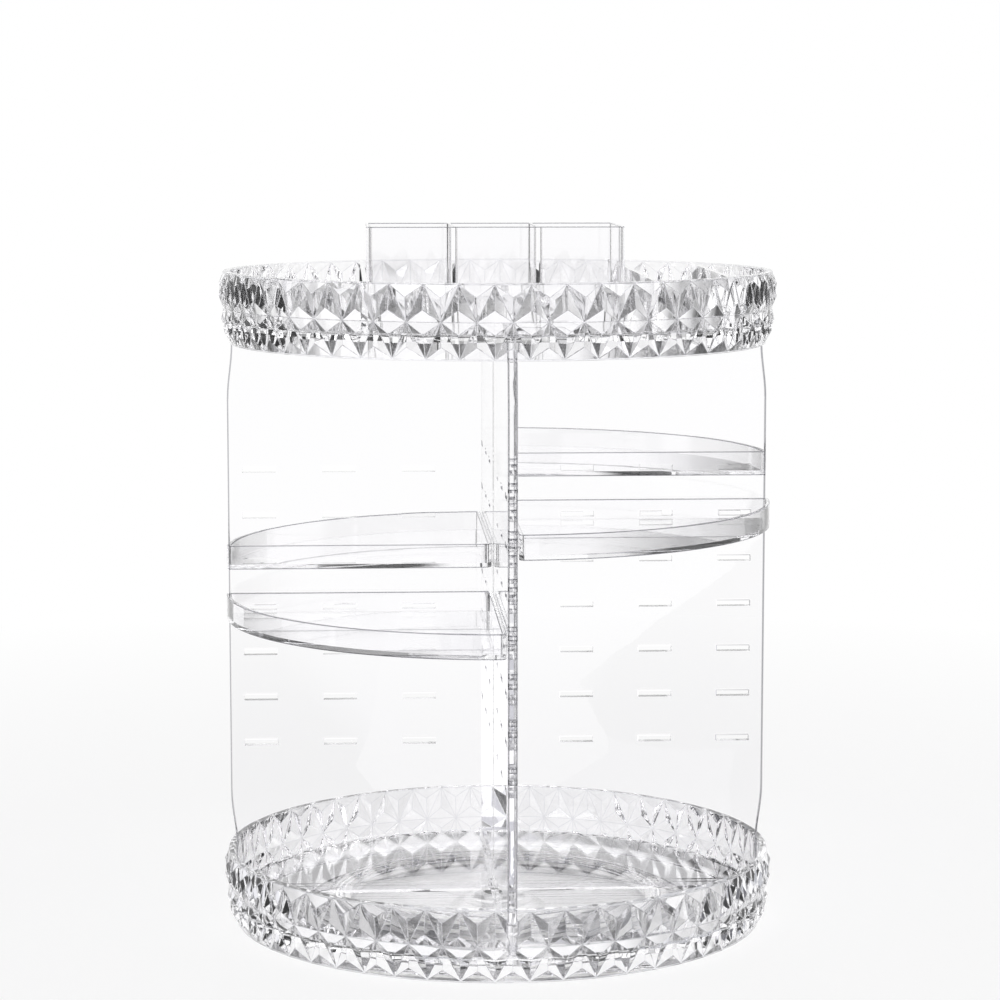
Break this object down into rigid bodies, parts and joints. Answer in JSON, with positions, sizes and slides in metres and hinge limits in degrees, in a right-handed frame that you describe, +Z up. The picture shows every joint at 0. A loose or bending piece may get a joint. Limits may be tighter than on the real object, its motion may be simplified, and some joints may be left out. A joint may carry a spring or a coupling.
{
  "type": "rotating makeup organizer",
  "caption": "Round clear organizer on a ball-bearing turntable, with faceted trays, slotted upright boards, quarter-round shelf trays and a divided top tray.",
  "frame": {"origin": "centre of the turntable's axis, on the surface that the rubber feet stand on", "axes": "+Z up along the turntable's axis, -Y towards the front, the boards stand along X and Y"},
  "size_m": [0.24, 0.24, 0.304],
  "materials": {
    "clear_plastic": "clear, polished",
    "foot_plastic": "clear, lightly frosted",
    "foot_rubber": "matt, translucent grey",
    "cage_plastic": "white, satin",
    "ball_steel": "polished",
    "screw_steel": "zinc plated"
  },
  "bodies": {
    "foot": {"foot_plate": "foot_plastic", "rubber_feet": "foot_rubber"},
    "bearing": {"ball_cage": "cage_plastic", "bearing_balls": "ball_steel"},
    "rotor": {"base_tray": "clear_plastic", "front_board": "clear_plastic", "right_board": "clear_plastic", "rear_board": "clear_plastic", "left_board": "clear_plastic", "pivot_screw": "screw_steel", "pivot_washer": "screw_steel"},
    "top": {"top_tray": "clear_plastic"},
    "brush_holder": {"brush_box": "clear_plastic"},
    "front_left_tray": {"front_left_shelf": "clear_plastic"},
    "front_right_tray": {"front_right_shelf": "clear_plastic"},
    "rear_left_tray": {"rear_left_shelf": "clear_plastic"},
    "rear_right_tray": {"rear_right_shelf": "clear_plastic"},
    "inner_divider_left_wall": {"inner_divider_left": "clear_plastic"},
    "inner_divider_right_wall": {"inner_divider_right": "clear_plastic"},
    "outer_divider_left_wall": {"outer_divider_left": "clear_plastic"},
    "outer_divider_right_wall": {"outer_divider_right": "clear_plastic"}
  },
  "joints": [
    {"name": "turntable_spin", "type": "hinge", "parent": "foot", "child": "rotor", "pos_m": [0, 0, 0], "axis": [0, 0, 1], "continuous": true},
    {"name": "bearing_spin", "type": "hinge", "parent": "foot", "child": "bearing", "pos_m": [0, 0, 0], "axis": [0, 0, 1], "continuous": true},
    {"name": "top_tray_lift", "type": "slide", "parent": "rotor", "child": "top", "axis": [0, 0, 1], "range_m": [0, 0.04]},
    {"name": "brush_box_lift", "type": "slide", "parent": "top", "child": "brush_holder", "axis": [0, 0, 1], "range_m": [0, 0.045]},
    {"name": "front_left_shelf_slide", "type": "slide", "parent": "rotor", "child": "front_left_tray", "axis": [-0.7071, -0.7071, 0], "range_m": [0, 0.13]},
    {"name": "front_right_shelf_slide", "type": "slide", "parent": "rotor", "child": "front_right_tray", "axis": [0.7071, -0.7071, 0], "range_m": [0, 0.13]},
    {"name": "rear_left_shelf_slide", "type": "slide", "parent": "rotor", "child": "rear_left_tray", "axis": [-0.7071, 0.7071, 0], "range_m": [0, 0.13]},
    {"name": "rear_right_shelf_slide", "type": "slide", "parent": "rotor", "child": "rear_right_tray", "axis": [0.7071, 0.7071, 0], "range_m": [0, 0.13]},
    {"name": "inner_divider_left_lift", "type": "slide", "parent": "top", "child": "inner_divider_left_wall", "axis": [0, 0, 1], "range_m": [0, 0.03]},
    {"name": "inner_divider_right_lift", "type": "slide", "parent": "top", "child": "inner_divider_right_wall", "axis": [0, 0, 1], "range_m": [0, 0.03]},
    {"name": "outer_divider_left_lift", "type": "slide", "parent": "top", "child": "outer_divider_left_wall", "axis": [0, 0, 1], "range_m": [0, 0.03]},
    {"name": "outer_divider_right_lift", "type": "slide", "parent": "top", "child": "outer_divider_right_wall", "axis": [0, 0, 1], "range_m": [0, 0.03]}
  ],
  "couplings": [
    {"joint": "bearing_spin", "follows": "turntable_spin", "ratio": 0.5}
  ]
}
